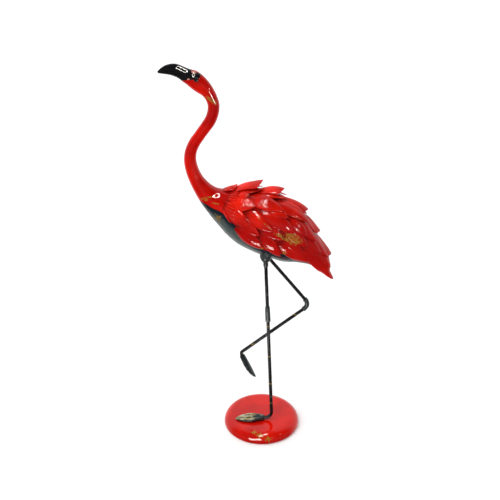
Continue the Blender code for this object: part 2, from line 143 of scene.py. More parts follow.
# Feathers along the spine: places of root and tip along the body, then the width and how far the tip
# stands off the body, both as shares of the height.
SPINE_ROWS = [
    (0.165, 0.212, 0.048, 0.036),
    (0.200, 0.345, 0.060, 0.067),
    (0.340, 0.485, 0.060, 0.057),
    (0.480, 0.635, 0.060, 0.040),
    (0.630, 0.785, 0.060, 0.038),
    (0.770, 0.920, 0.060, 0.035),
    (0.900, 1.070, 0.060, 0.002),
]
# Feathers of one side: the root's place along the body and its angle from the spine in degrees, the
# same two for the tip, the width as a share of the height, and how deep its barbs are cut.
SIDE_ROWS = [
    (0.34, 105, 0.53, 120, 0.065, 0.35),
    (0.47, 92, 0.66, 118, 0.060, 0.4),
    (0.61, 90, 0.84, 104, 0.065, 0.35),
    (0.70, 70, 1.04, 78, 0.075, 0.45),
    (0.22, 72, 0.38, 90, 0.060, 0.75),
    (0.34, 66, 0.52, 80, 0.056, 0.4),
    (0.42, 56, 0.63, 62, 0.060, 0.4),
    (0.56, 60, 0.76, 66, 0.058, 0.35),
    (0.73, 30, 0.92, 24, 0.055, 0.3),
    (0.22, 53, 0.36, 50, 0.068, 1.15),
    (0.32, 30, 0.52, 40, 0.064, 0.45),
    (0.48, 27, 0.67, 22, 0.060, 0.35),
    (0.61, 36, 0.79, 36, 0.056, 0.35),
    (0.22, 16, 0.37, 8, 0.045, 0.7),
    (0.35, 14, 0.52, 8, 0.047, 0.4),
]
# The foremost leaves in the same terms, with deeply cut barbs.
FRONT_ROWS = [
    (0.222, 29, 0.30, 32, 0.044, 1.2),
    (0.224, 50, 0.30, 52, 0.042, 1.2),
    (0.226, 74, 0.31, 83, 0.044, 1.0),
]
SIDE_LIFT = 0.028
NO_LIFT_ANGLE = 150
SIDE_GROWTH = 1.18
SIDE_TUCK = 0.035
SPINE_GROWTH = 1.1
SPINE_TUCK = 0.03
SPINE_HANG = 0.0048
BARB_STEP = 0.0026
BARB_DEPTH = 0.0007
FRINGE_BARBS = 24
# Low leaves in the same terms, which lie under the others and leave none of the body bare between them.
LOW_ROWS = [
    (0.30, 88, 0.46, 96, 0.060, 0.3),
    (0.42, 78, 0.60, 84, 0.062, 0.3),
    (0.58, 78, 0.76, 88, 0.060, 0.3),
    (0.74, 84, 0.95, 92, 0.055, 0.4),
    (0.40, 44, 0.56, 46, 0.056, 0.3),
    (0.54, 45, 0.72, 48, 0.056, 0.3),
    (0.68, 48, 0.86, 52, 0.054, 0.3),
    (0.80, 44, 0.97, 44, 0.050, 0.3),
    (0.46, 12, 0.64, 10, 0.050, 0.3),
    (0.60, 14, 0.78, 12, 0.048, 0.3),
    (0.74, 12, 0.92, 10, 0.044, 0.3),
]


def smooth_through(knots, at):
    """Values of a smooth curve through evenly numbered knots, at a real-valued place among them."""
    rows = np.array(knots, float)
    last = len(rows) - 1
    place = min(max(at, 0.0), float(last))
    i = min(int(place), last - 1)
    u = place - i
    before, after = rows[max(i - 1, 0)], rows[min(i + 2, last)]
    start, end = rows[i], rows[i + 1]
    leave = (end - before) / (2 if i > 0 else 1)
    arrive = (after - start) / (2 if i + 2 <= last else 1)
    return (
        (2 * u**3 - 3 * u**2 + 1) * start
        + (u**3 - 2 * u**2 + u) * leave
        + (3 * u**2 - 2 * u**3) * end
        + (u**3 - u**2) * arrive
    )


class Figure:
    """The casting's surface: a place along it, an angle round it from the spine, and a height off it."""

    def __init__(self, hip):
        self.hip = Vector(hip)
        self.height = FIGURE_HEIGHT
        self.last = len(SECTIONS) - 1
        self.known = {}
        steps = np.linspace(BREAST_SECTION, self.last, 200)
        centres = [self.section(s)[0] for s in steps]
        runs = [0.0]
        for a, b in zip(centres, centres[1:]):
            runs.append(runs[-1] + (b - a).length)
        self.body_length = runs[-1]
        self.body_steps, self.body_runs = steps, runs

    def section(self, at):
        """Centre, direction towards the spine, half height and half width, past the tail too."""
        if at in self.known:
            return self.known[at]
        x, z, high, wide = smooth_through(SECTIONS, at)
        step = 0.01
        x0, z0 = smooth_through(SECTIONS, min(at, self.last) - step)[:2]
        x1, z1 = smooth_through(SECTIONS, min(at, self.last - step) + step)[:2]
        along = Vector((x1 - x0, 0, z1 - z0)).normalized()
        centre = self.hip + Vector((x, 0, z)) * self.height
        spine = Vector((-along.z, 0, along.x))
        self.known[at] = (centre, spine, high * self.height, wide * self.height)
        return self.known[at]

    def body_place(self, share):
        run = share * self.body_length
        beyond = max(0.0, run - self.body_length)
        return float(np.interp(run, self.body_runs, self.body_steps)), beyond

    def point(self, at, angle, off=0.0, beyond=0.0):
        centre, spine, high, wide = self.section(at)
        along = Vector((spine.z, 0, -spine.x))
        c, s = math.cos(angle), math.sin(angle)
        outward = (spine * c / high + Vector((0, -1, 0)) * s / wide).normalized()
        return centre + spine * high * c + Vector((0, -wide * s, 0)) + outward * off + along * beyond

    def on_body(self, share, angle, off=0.0):
        at, beyond = self.body_place(share)
        return self.point(at, angle, off, beyond)


def placed(shape, name, material):
    """Turns a bmesh into an object in the scene."""
    mesh = bpy.data.meshes.new(name)
    shape.to_mesh(mesh)
    shape.free()
    mesh.materials.append(material)
    piece = bpy.data.objects.new(name, mesh)
    bpy.context.scene.collection.objects.link(piece)
    return piece


def finished(shape, name, material, node, smooth_under=40):
    """Turns a bmesh into a piece that rides on the part and stands for one of its nodes."""
    bmesh.ops.remove_doubles(shape, verts=shape.verts, dist=0.000001)
    bmesh.ops.recalc_face_normals(shape, faces=shape.faces)
    piece = placed(shape, name, material)
    piece.data.shade_smooth()
    piece.data.set_sharp_from_angle(angle=math.radians(smooth_under))
    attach(piece, "root")
    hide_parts(node)


def extend_ring(shape, ring, points):
    """Extrudes the last ring of a loft and moves the new ring to the given points."""
    count = len(ring)
    edges = [shape.edges.get((ring[i], ring[(i + 1) % count])) for i in range(count)]
    grown = bmesh.ops.extrude_edge_only(shape, edges=edges)["geom"]
    twin = {tuple(v.co): v for v in grown if isinstance(v, bmesh.types.BMVert)}
    following = [twin[tuple(v.co)] for v in ring]
    for vertex, point in zip(following, points):
        vertex.co = point
    return following


def loft(rings):
    """A closed bmesh through rings of points that all have the same count."""
    shape = bmesh.new()
    ring = bmesh.ops.create_circle(shape, segments=len(rings[0]), radius=1.0)["verts"]
    for vertex, point in zip(ring, rings[0]):
        vertex.co = point
    shape.faces.new(list(reversed(ring)))
    for points in rings[1:]:
        ring = extend_ring(shape, ring, points)
    shape.faces.new(ring)
    return shape


def wobble(place, size, scale):
    """A small smooth unevenness of hand-finished metal."""
    return size * noise.noise(place * scale)


class Finish:
    """A node-built material, with short names for the nodes that this object's finishes share."""

    def __init__(self, name, roughness, reflectance):
        self.material = bpy.data.materials.new(name)
        self.material.use_nodes = True
        self.tree = self.material.node_tree
        self.shader = self.tree.nodes["Principled BSDF"]
        self.shader.inputs["Roughness"].default_value = roughness
        self.shader.inputs["IOR"].default_value = reflectance
        coordinates = self.tree.nodes.new("ShaderNodeTexCoord")
        self.place = coordinates.outputs["Object"]
        self.leaf = coordinates.outputs["UV"]

    def feed(self, socket, value):
        if isinstance(value, bpy.types.NodeSocket):
            self.tree.links.new(value, socket)
        else:
            socket.default_value = value

    def sum(self, operation, a, b=0.0, c=0.0):
        node = self.tree.nodes.new("ShaderNodeMath")
        node.operation = operation
        for socket, value in zip(node.inputs, (a, b, c)):
            self.feed(socket, value)
        return node.outputs[0]

    def parts(self, vector):
        node = self.tree.nodes.new("ShaderNodeSeparateXYZ")
        self.feed(node.inputs[0], vector)
        return node.outputs

    def noise(self, scale, detail=3.0, rough=0.5, vector=None):
        node = self.tree.nodes.new("ShaderNodeTexNoise")
        node.inputs["Scale"].default_value = scale
        node.inputs["Detail"].default_value = detail
        node.inputs["Roughness"].default_value = rough
        self.feed(node.inputs["Vector"], vector or self.place)
        return node.outputs["Fac"]

    def ramp(self, value, low, high, start=0.0, end=1.0):
        node = self.tree.nodes.new("ShaderNodeMapRange")
        node.interpolation_type = "SMOOTHSTEP"
        self.feed(node.inputs["Value"], value)
        node.inputs["From Min"].default_value = low
        node.inputs["From Max"].default_value = high
        node.inputs["To Min"].default_value = start
        node.inputs["To Max"].default_value = end
        return node.outputs[0]

    def mix(self, share, a, b):
        node = self.tree.nodes.new("ShaderNodeMix")
        node.data_type = "RGBA"
        self.feed(node.inputs["Factor"], share)
        self.feed(node.inputs[6], a)
        self.feed(node.inputs[7], b)
        return node.outputs[2]

    def curve(self, value, low, high, knots):
        """A smooth line through knots, each a place from low to high and the height there."""
        levels = [level for _, level in knots]
        floor, span = min(levels), max(levels) - min(levels)
        node = self.tree.nodes.new("ShaderNodeFloatCurve")
        points = node.mapping.curves[0].points
        for _ in range(len(knots) - 2):
            points.new(0.5, 0.5)
        for point, (place, level) in zip(points, knots):
            point.location = ((place - low) / (high - low), (level - floor) / span)
        node.mapping.update()
        share = self.sum("DIVIDE", self.sum("SUBTRACT", value, low), high - low)
        self.tree.links.new(share, node.inputs["Value"])
        return self.sum("MULTIPLY_ADD", node.outputs[0], span, floor)

    def splash(self, centre, size, turn=0.0, ragged=0.6, corners=2.0):
        """An irregular blot, for leaf gold and for the painted highlights round the eyes, by its centre, half
        sizes and turn in the side view.

        Corners of 2 make it an ellipse, and less than 1 a flake with four drawn-out points.
        """
        node = self.tree.nodes.new("ShaderNodeMapping")
        node.vector_type = "TEXTURE"
        self.feed(node.inputs["Vector"], self.place)
        node.inputs["Location"].default_value = centre
        node.inputs["Rotation"].default_value = (0.0, math.radians(turn), 0.0)
        node.inputs["Scale"].default_value = size
        ways = self.parts(node.outputs[0])
        powers = [self.sum("POWER", self.sum("ABSOLUTE", way), corners) for way in ways]
        far = self.sum("ADD", self.sum("ADD", powers[0], powers[1]), powers[2])
        far = self.sum("POWER", far, 0.5)
        torn = self.sum("SUBTRACT", self.noise(160.0, 4.0, 0.65), 0.5)
        reach = self.sum("MULTIPLY_ADD", torn, 2 * ragged, far)
        flaked = self.ramp(self.noise(450.0, 3.0), 0.43, 0.50)
        return self.sum("MULTIPLY", self.ramp(reach, 1.0, 0.85), flaked)

    def splashes(self, rows):
        total = self.splash(*rows[0])
        for row in rows[1:]:
            total = self.sum("MAXIMUM", total, self.splash(*row))
        return total

    def bump(self, height, distance):
        node = self.tree.nodes.new("ShaderNodeBump")
        node.inputs["Distance"].default_value = distance
        self.feed(node.inputs["Height"], height)
        return node.outputs["Normal"]

    def paint(self, colour, normal):
        self.feed(self.shader.inputs["Base Color"], colour)
        self.feed(self.shader.inputs["Normal"], normal)
        return self.material


RED_BRIGHT = (0.70, 0.007, 0.002, 1.0)
RED_DEEP = (0.46, 0.002, 0.001, 1.0)
RED_EVEN = (0.50, 0.005, 0.002, 1.0)
# Painted light on the leaves: a duller red for low leaves as painted shade, a brighter one on the back as
# painted top light.
RED_PAINTED_LOW_SHADE = (0.56, 0.005, 0.002, 1.0)
RED_PAINTED_TOP_LIGHT = (0.95, 0.015, 0.003, 1.0)
# Dark red for fine specks in the lacquer, and for painted shade at the feathers' roots.
RED_SPECK_AND_SHADE = (0.16, 0.001, 0.001, 1.0)
GOLD = (0.36, 0.175, 0.02, 1.0)
DULL_GOLD = (0.22, 0.135, 0.035, 1.0)
BAND_GOLD = (0.30, 0.19, 0.05, 1.0)
# Painted highlight: the pale pink of the glints round the eyes.
PAINTED_EYE_GLINT = (0.70, 0.30, 0.24, 1.0)
BLACK = (0.006, 0.006, 0.007, 1.0)
SLATE_BLUE = (0.008, 0.014, 0.021, 1.0)
BELLY_GREY = (0.078, 0.098, 0.094, 1.0)
SLATE_GREY = (0.026, 0.034, 0.036, 1.0)
ROD_DUST = (0.009, 0.012, 0.013, 1.0)
ROD_BRASS = (0.07, 0.06, 0.035, 1.0)
ROD_STEEL = (0.09, 0.10, 0.10, 1.0)
SLEEVE_WORN = (0.15, 0.14, 0.11, 1.0)
FOOT_PAINT = (0.012, 0.018, 0.020, 1.0)
FOOT_GOLD = (0.38, 0.27, 0.06, 1.0)
FOOT_SILVER = (0.50, 0.52, 0.40, 1.0)
KNOB_DARK = (0.020, 0.027, 0.028, 1.0)
KNOB_PALE = (0.045, 0.056, 0.056, 1.0)
EYE_SPECK = (0.05, 0.045, 0.04, 1.0)

# Blots of leaf gold: centre, half sizes, turn in degrees, raggedness.
NECK_GOLD = [
    ((-0.0780, -0.008, 0.5955), (0.0105, 0.014, 0.0032), 38, 0.9),
    ((-0.0860, -0.016, 0.4440), (0.0120, 0.020, 0.0012), -12, 0.4),
    ((-0.0930, -0.014, 0.4400), (0.0060, 0.020, 0.0026), 0, 0.8),
    ((-0.0750, -0.020, 0.4353), (0.0055, 0.020, 0.0012), 6, 0.4),
    ((-0.0700, 0.020, 0.4500), (0.0100, 0.020, 0.0030), -20, 0.8),
    ((-0.0980, 0.010, 0.5650), (0.0060, 0.012, 0.0030), 30, 0.7),
]
BREAST_GOLD = [
    ((-0.0712, -0.022, 0.4100), (0.0130, 0.080, 0.0060), 62, 0.7, 0.8),
    ((-0.0725, -0.022, 0.4125), (0.0075, 0.020, 0.0018), -25, 0.9),
    ((-0.0500, 0.025, 0.3900), (0.0080, 0.020, 0.0030), 40, 0.7),
]
WING_GOLD = [
    ((0.0015, -0.040, 0.4100), (0.0175, 0.030, 0.0008), 42, 0.25),
    ((0.0270, -0.036, 0.3900), (0.0120, 0.030, 0.0036), 22, 1.2),
    ((0.0450, -0.036, 0.3815), (0.0160, 0.030, 0.0080), 30, 1.3),
    ((0.0000, -0.034, 0.3640), (0.0060, 0.030, 0.0030), 20, 1.0),
    ((0.0325, -0.031, 0.3550), (0.0062, 0.030, 0.0048), -30, 1.0),
    ((0.0100, 0.036, 0.4050), (0.0130, 0.030, 0.0040), 30, 0.9),
    ((0.0500, 0.036, 0.3650), (0.0060, 0.030, 0.0030), 10, 0.8),
]
BASE_GOLD = [
    ((-0.0130, -0.0550, 0.0170), (0.0120, 0.0090, 0.020), 0, 0.4, 0.6),
    ((-0.0035, -0.0610, 0.0150), (0.0150, 0.0130, 0.024), 15, 0.5, 0.6),
    ((0.0110, -0.0645, 0.0095), (0.0130, 0.0240, 0.0150), -20, 0.4, 0.6),
    ((0.0300, 0.0500, 0.0170), (0.0100, 0.0100, 0.020), 10, 0.6, 0.8),
]
# Heights of the narrow worn rings on the rods.
ROD_BANDS = [0.213, 0.153, 0.097, 0.056]
# Painted highlights: pale glint marks round the left eye and the right one.
EYE_GLINT_MARKS = [
    ((-0.1040, 0.0, 0.6362), (0.0045, 0.030, 0.0016), 25, 0.8),
    ((-0.1110, 0.0, 0.6270), (0.0050, 0.030, 0.0011), -12, 0.8),
]


def lacquer_red(finish, deep=RED_DEEP, bright=RED_BRIGHT):
    """The red coat: deeper and brighter in slow clouds, with fine dark specks in the lacquer."""
    coat = finish.mix(finish.ramp(finish.noise(22.0), 0.35, 0.68), deep, bright)
    specks = finish.ramp(finish.noise(900.0, 2.0), 0.70, 0.76, 0.0, 0.35)
    return finish.mix(specks, coat, RED_SPECK_AND_SHADE)


def casting_finish():
    """Neck, head and body: red lacquer, a black beak, a slate-blue breast, strokes of leaf gold and painted
    highlights round the eyes.
    """
    finish = Finish("casting_lacquer", 0.055, 1.38)
    x, _, z = finish.parts(finish.place)
    torn = finish.sum("SUBTRACT", finish.noise(140.0, 4.0, 0.6), 0.5)
    # The breast line falls from the front of the neck to the rear of the belly.
    line = finish.curve(x, -0.100, 0.120, [
        (-0.100, 0.434), (-0.090, 0.432), (-0.079, 0.427), (-0.065, 0.422), (-0.057, 0.413),
        (-0.036, 0.396), (-0.028, 0.380), (-0.010, 0.366), (0.016, 0.355), (0.042, 0.350),
        (0.070, 0.332), (0.120, 0.292),
    ])
    below = finish.sum("MULTIPLY_ADD", torn, 0.004, finish.sum("SUBTRACT", line, z))
    slate = finish.ramp(below, -0.0003, 0.0003)
    depth = finish.ramp(below, 0.003, 0.018)
    # The beak's black runs back to the eye in a ragged tongue.
    edge = finish.curve(z, 0.615, 0.650, [
        (0.615, -0.130), (0.624, -0.120), (0.6265, -0.106), (0.629, -0.0945), (0.633, -0.0935),
        (0.637, -0.102), (0.641, -0.109), (0.650, -0.109),
    ])
    ahead = finish.sum("MULTIPLY_ADD", torn, 0.008, finish.sum("SUBTRACT", edge, x))
    high = finish.ramp(z, 0.600, 0.604)
    beak = finish.sum("MULTIPLY", finish.ramp(ahead, -0.0003, 0.0003), high)
    colour = finish.mix(finish.splashes(NECK_GOLD), lacquer_red(finish), GOLD)
    breast = finish.mix(depth, SLATE_BLUE, BELLY_GREY)
    breast = finish.mix(finish.splashes(BREAST_GOLD), breast, DULL_GOLD)
    colour = finish.mix(slate, colour, breast)
    # Painted highlights: pale glint marks laid over the black and red round the eyes.
    colour = finish.mix(finish.splashes(EYE_GLINT_MARKS), finish.mix(beak, colour, BLACK), PAINTED_EYE_GLINT)
    rough = finish.sum("MULTIPLY_ADD", beak, 0.75, 0.05)
    dented = finish.sum("MULTIPLY", finish.noise(95.0, 2.0), rough)
    return finish.paint(colour, finish.bump(dented, 0.0005))


def feather_finish():
    """The same red on the leaves, with painted shade at their sunk roots and low down, painted top light on
    the back, and gold rubbed on.
    """
    finish = Finish("feather_lacquer", 0.10, 1.38)
    along = finish.parts(finish.leaf)[0]
    # Painted light: the leaves get brighter with height, lit-looking on the back and shaded low down.
    up = finish.ramp(finish.parts(finish.place)[2], 0.385, 0.430)
    coat = lacquer_red(finish, finish.mix(up, RED_DEEP, RED_EVEN), finish.mix(up, RED_PAINTED_LOW_SHADE, RED_PAINTED_TOP_LIGHT))
    # Painted shade: the red darkens towards each leaf's root, where the leaf above covers it.
    red = finish.mix(finish.ramp(along, 0.30, 0.0, 0.0, 0.75), coat, RED_SPECK_AND_SHADE)
    colour = finish.mix(finish.splashes(WING_GOLD), red, GOLD)
    return finish.paint(colour, finish.bump(finish.noise(190.0, 3.0), 0.0005))


def base_finish():
    finish = Finish("base_lacquer", 0.07, 1.38)
    colour = finish.mix(finish.splashes(BASE_GOLD), lacquer_red(finish, RED_EVEN), GOLD)
    return finish.paint(colour, finish.bump(finish.noise(45.0, 2.0), 0.0004))


def rod_finish():
    """Black paint on steel rod, with scattered bands and specks worn to grey and dull gold."""
    finish = Finish("rod_paint", 0.32, 1.25)
    worn = finish.ramp(finish.noise(70.0, 5.0, 0.7), 0.60, 0.68)
    dusty = finish.ramp(finish.noise(18.0, 2.0), 0.45, 0.70)
    metal = finish.mix(finish.noise(260.0), ROD_BRASS, ROD_STEEL)
    paint = finish.mix(dusty, BLACK, ROD_DUST)
    colour = finish.mix(worn, paint, metal)
    height = finish.sum("MULTIPLY_ADD", finish.noise(120.0, 3.0), 0.003, finish.parts(finish.place)[2])
    for band in ROD_BANDS:
        away = finish.sum("ABSOLUTE", finish.sum("SUBTRACT", height, band + 0.0015))
        colour = finish.mix(finish.ramp(away, 0.0010, 0.0005), colour, BAND_GOLD)
    return finish.paint(colour, finish.bump(finish.noise(240.0, 3.0), 0.0004))


def sleeve_finish():
    finish = Finish("sleeve_paint", 0.36, 1.45)
    worn = finish.ramp(finish.noise(110.0, 5.0, 0.7), 0.60, 0.70)
    colour = finish.mix(worn, SLATE_GREY, SLEEVE_WORN)
    return finish.paint(colour, finish.bump(finish.noise(300.0, 3.0), 0.0004))


def foot_finish(name, rub, reflectance):
    """Dark paint rubbed back to gold along the toes' ridges, by how hard they were rubbed."""
    finish = Finish(name, 0.30, reflectance)
    ridge = finish.parts(finish.leaf)[0]
    drawn = finish.tree.nodes.new("ShaderNodeMapping")
    drawn.inputs["Scale"].default_value = (0.18, 1.0, 1.0)
    finish.feed(drawn.inputs["Vector"], finish.place)
    streaks = finish.noise(420.0, 3.0, 0.6, drawn.outputs[0])
    rubbed = finish.sum("MULTIPLY_ADD", finish.sum("SUBTRACT", streaks, 0.5 - rub), 1.6, ridge)
    bright = finish.mix(finish.ramp(streaks, 0.45, 0.60), FOOT_GOLD, FOOT_SILVER)
    colour = finish.mix(finish.ramp(rubbed, 0.50, 0.85), FOOT_PAINT, bright)
    return finish.paint(colour, finish.bump(streaks, 0.0003))


def knob_finish():
    finish = Finish("knob_paint", 0.30, 1.45)
    up = finish.ramp(finish.parts(finish.place)[2], 0.337, 0.348)
    colour = finish.mix(up, KNOB_DARK, KNOB_PALE)
    return finish.paint(colour, finish.bump(finish.noise(200.0, 3.0), 0.0004))


def eye_finish():
    finish = Finish("eye_glaze", 0.05, 1.5)
    colour = finish.mix(finish.ramp(finish.noise(500.0), 0.60, 0.70), BLACK, EYE_SPECK)
    return finish.paint(colour, finish.bump(finish.noise(400.0), 0.0001))


def make_casting(figure, material):
    """Beak, head, neck and body as one skin, with a mouth line cut along the beak."""
    places = [i / 8 for i in range(8 * HEAD_SECTIONS)]
    places += [HEAD_SECTIONS + i / 5 for i in range(5 * (figure.last - HEAD_SECTIONS) + 1)]
    sides = 56
    rings = []
    for at in places:
        ring = []
        for i in range(sides):
            angle = 2 * math.pi * i / sides
            off = wobble(figure.point(at, angle), 0.00025, 60.0) - 0.00025
            # The mouth line lies a little under the beak's middle and fades out on the cheek.
            aside = math.degrees(min(angle, 2 * math.pi - angle)) - MOUTH_ANGLE
            fade = max(0.0, min(1.0, (MOUTH_END - at) / 1.2))
            off -= MOUTH_DEPTH * math.exp(-(aside / MOUTH_SPREAD) ** 2) * fade
            ring.append(figure.point(at, angle, off))
        rings.append(ring)
    finished(loft(rings), "bird_casting", material, "bird", 60)


def leaf_outline(u):
    """Half width of a side feather from root (0) to tip (1): broad early, then drawn to a point."""
    return min(1.0, 0.62 + 1.1 * u) * (1.0 if u < 0.42 else 1 - ((u - 0.42) / 0.58) ** 2.1)


def blade_outline(u):
    """Half width of a spine feather: nearly even, then cut to a blunt point."""
    return min(1.0, 0.62 + 1.1 * u) * min(1.0, (1.0 - u) / 0.13) ** 0.75


def leaf_ball(rows, around):
    """A ball with rows of corners from pole to pole, which every leaf of one fineness is shaped from."""
    ball = bmesh.new()
    bmesh.ops.create_uvsphere(ball, u_segments=around, v_segments=rows, radius=1.0)
    mesh = bpy.data.meshes.new("leaf_ball")
    ball.to_mesh(mesh)
    ball.free()
    return mesh


def add_leaf(shape, ball, figure, root, tip, width, lift, cut, fold=0.0):
    """One feather as a closed, crowned leaf with slanting barbs, laid on the body from root to tip.

    A fold above 0 makes it a roof over the spine whose sides hang that far at the tip.
    """
    outline = blade_outline if fold else leaf_outline
    surface = shape.loops.layers.uv.verify()
    known, faces_known = len(shape.verts), len(shape.faces)
    shape.from_mesh(ball)
    shape.verts.ensure_lookup_table()
    shape.faces.ensure_lookup_table()
    length = (figure.on_body(tip[0], tip[1]) - figure.on_body(root[0], root[1])).length
    crown = 0.0012 + 0.05 * width
    by_row, leaf_place = {}, {}
    for vertex in shape.verts[known:]:
        u = 1 - math.acos(max(-1.0, min(1.0, vertex.co.z))) / math.pi
        by_row.setdefault(round(u, 4), []).append(vertex)
    for u, row in by_row.items():
        angle = root[1] + (tip[1] - root[1]) * u
        at, beyond = figure.body_place(root[0] + (tip[0] - root[0]) * u)
        here = figure.point(at, angle, 0.0, beyond)
        round_body = (figure.point(at, angle + 0.05, 0.0, beyond) - here).length / 0.05
        reach = width / 2 * outline(u) / max(round_body, 0.35 * width)
        ends_in = math.sin(math.pi * u) ** 0.5
        for vertex in row:
            turn = math.atan2(vertex.co.y, vertex.co.x)
            v, top = math.cos(turn), math.sin(turn)
            if len(row) == 1:
                v = top = 0.0
            hang = fold * u * outline(u) * abs(v) ** 1.2
            off = lift * u + 0.0006 - 0.0018 * (1 - u) ** 4 - hang
            if top > 0:
                domed = 1 - abs(v) if fold else top
                run = (u * length - 0.5 * abs(v) * width) / BARB_STEP
                run += wobble(vertex.co + here * 40, 0.5, 2.2)
                barbs = abs(math.sin(math.pi * run)) ** 0.6
                rib = math.exp(-((v / 0.10) ** 2))
                carved = BARB_DEPTH * cut ** 2 * (barbs - 1) * (1 - rib) * min(1.0, 4 * top)
                off += (domed * crown + carved) * ends_in
            else:
                off += top * 0.0008 * ends_in
            vertex.co = figure.point(at, angle + v * reach, off, beyond)
            leaf_place[vertex.index] = (u, (v + 1) / 2)
    for face in shape.faces[faces_known:]:
        for loop in face.loops:
            loop[surface].uv = leaf_place[loop.vert.index]


def add_pair(shape, ball, figure, row, grow, forward):
    """The same leaf on both sides, some wider and longer at its hidden root than its row says."""
    root_place, root_angle, tip_place, tip_angle, width, cut = row
    lift = SIDE_LIFT * (1 - root_angle / NO_LIFT_ANGLE) * figure.height
    for side in (1, -1):
        root = (root_place - forward, side * math.radians(root_angle))
        tip = (tip_place, side * math.radians(tip_angle))
        add_leaf(shape, ball, figure, root, tip, grow * width * figure.height, lift, cut)


def make_feathers(figure, material):
    """The spine's row of folded blades, the leaves of both sides, and low leaves that fill between them."""
    height = figure.height
    shape = bmesh.new()
    ball = leaf_ball(52, 28)
    for root_place, tip_place, width, lift in SPINE_ROWS:
        hang = min(SPINE_HANG, 0.5 * lift * height) + 0.0001
        root, tip = (root_place - SPINE_TUCK, 0.0), (tip_place, 0.0)
        add_leaf(shape, ball, figure, root, tip, SPINE_GROWTH * width * height, lift * height, 0.3, hang)
    for row in SIDE_ROWS:
        add_pair(shape, ball, figure, row, SIDE_GROWTH, SIDE_TUCK)
    for row in FRONT_ROWS:
        add_pair(shape, ball, figure, row, 1.0, 0.0)
    for row in LOW_ROWS:
        add_pair(shape, ball, figure, row, 1.0, 0.0)
    bpy.data.meshes.remove(ball)
    finished(shape, "feathers", material, "bird", 60)


def make_fringe(figure, material):
    """Small barbs at uneven places where the feathers begin."""
    height = figure.height
    shape = bmesh.new()
    ball = leaf_ball(16, 12)
    for side in (1, -1):
        for i in range(FRINGE_BARBS):
            turn = 12 + 3.6 * i
            angle = side * math.radians(turn)
            start = 0.186 + 0.0004 * max(0.0, turn - 35) + 0.011 * math.sin(2.3 * i)
            stop = start + 0.060 + 0.012 * math.sin(4.1 * i)
            tip = (stop, angle + side * (0.06 + 0.08 * math.sin(3.1 * i)))
            add_leaf(shape, ball, figure, (start, angle), tip, 0.011 * height, 0.013 * height, 0.5)
    bpy.data.meshes.remove(ball)
    finished(shape, "wing_fringe", material, "bird", 60)


def make_eye(name, figure, side, material):
    forward, up = EYE_PLACE
    target = figure.hip + Vector((forward, 0, up)) * figure.height
    places = [figure.point(at / 10, side * math.radians(angle))
              for at in range(50, 90) for angle in range(50, 130, 4)]
    place = min(places, key=lambda p: (p.x - target.x) ** 2 + (p.z - target.z) ** 2)
    shape = bmesh.new()
    bmesh.ops.create_uvsphere(shape, u_segments=32, v_segments=20, radius=EYE_RADIUS,
                              matrix=Matrix.Translation(place + Vector((0, side * EYE_RADIUS * 0.4, 0))))
    finished(shape, name, material, "bird")


def make_knob(name, hip, way, material):
    """The bell-shaped knob under the belly and the collar round its mouth, with a soft lip."""
    underside = hip - way * COLLAR_LENGTH
    outer, bore = ROD_RADIUS + SEAT_GAP + COLLAR_WALL, ROD_RADIUS + SEAT_GAP
    shape = bmesh.new()
    widest = 0.93 * KNOB_RADIUS
    bell = [(outer, 0.0004)]
    for i in range(1, 13):
        swell = math.sin(math.pi / 2 * i / 12) ** 0.8
        bell.append((outer + (widest - outer) * swell, KNOB_HEIGHT * 0.42 * i / 12))
    for i in range(1, 11):
        turn = math.pi / 2 * i / 10
        bell.append((widest * math.cos(turn), KNOB_HEIGHT * (0.42 + 0.48 * math.sin(turn))))
    spun(shape, bell, underside, Vector((0, 0, 1)), 40)
    for vertex in shape.verts:
        aside = vertex.co - underside
        aside.z = 0.0
        vertex.co += aside * wobble(vertex.co, 0.04, 220.0)
    profile = [(bore, -0.002), (bore, -0.0002), (outer - 0.0003, 0.0), (outer, 0.0004),
               (outer, COLLAR_LENGTH), (outer, 2 * COLLAR_LENGTH)]
    spun(shape, profile, hip, -way, 32)
    finished(shape, name, material, "bird")


def spun(shape, profile, origin, axis, steps):
    """Adds a profile of (radius, distance along the axis) turned round the axis."""
    turn = Vector((0, 0, 1)).rotation_difference(axis).to_matrix()
    knots = [shape.verts.new(origin + turn @ Vector((radius, 0, far))) for radius, far in profile]
    edges = [shape.edges.new(pair) for pair in zip(knots, knots[1:])]
    bmesh.ops.spin(shape, geom=knots + edges, cent=origin, axis=axis, angle=2 * math.pi, steps=steps,
                   use_merge=True)


def make_base(material):
    """The domed disc: a flat top that rolls over a quarter-round shoulder to its tucked underside."""
    shape = bmesh.new()
    profile = [(BASE_RADIUS * share, BASE_THICKNESS) for share in (0.0, 0.35, 0.65)]
    for i in range(17):
        turn = math.pi / 2 * i / 16
        profile.append((
            BASE_RADIUS - BASE_SHOULDER * (1 - math.sin(turn)),
            BASE_TUCK + (BASE_THICKNESS - BASE_TUCK) * math.cos(turn),
        ))
    profile += [(BASE_RADIUS - 0.25 * BASE_TUCK, 0.3 * BASE_TUCK), (BASE_RADIUS - BASE_TUCK, 0.0), (0.0, 0.0)]
    spun(shape, profile, Vector(), Vector((0, 0, 1)), 160)
    finished(shape, "domed_base", material, "base", 50)


def rod_path(points, bends, steps=14):
    """Points along a rod that runs straight between corners, with an arc of the given radius at each."""
    path = [points[0]]
    for corner, radius, before, after in zip(points[1:-1], bends, points, points[2:]):
        come, go = (before - corner).normalized(), (after - corner).normalized()
        half = come.angle(go) / 2
        back = radius / math.tan(half)
        centre = corner + (come + go).normalized() * radius / math.sin(half)
        start = corner + come * back - centre
        axis = start.cross(corner + go * back - centre).normalized()
        sweep = math.pi - 2 * half
        for i in range(steps + 1):
            path.append(centre + Matrix.Rotation(sweep * i / steps, 3, axis) @ start)
    path.append(points[-1])
    return path


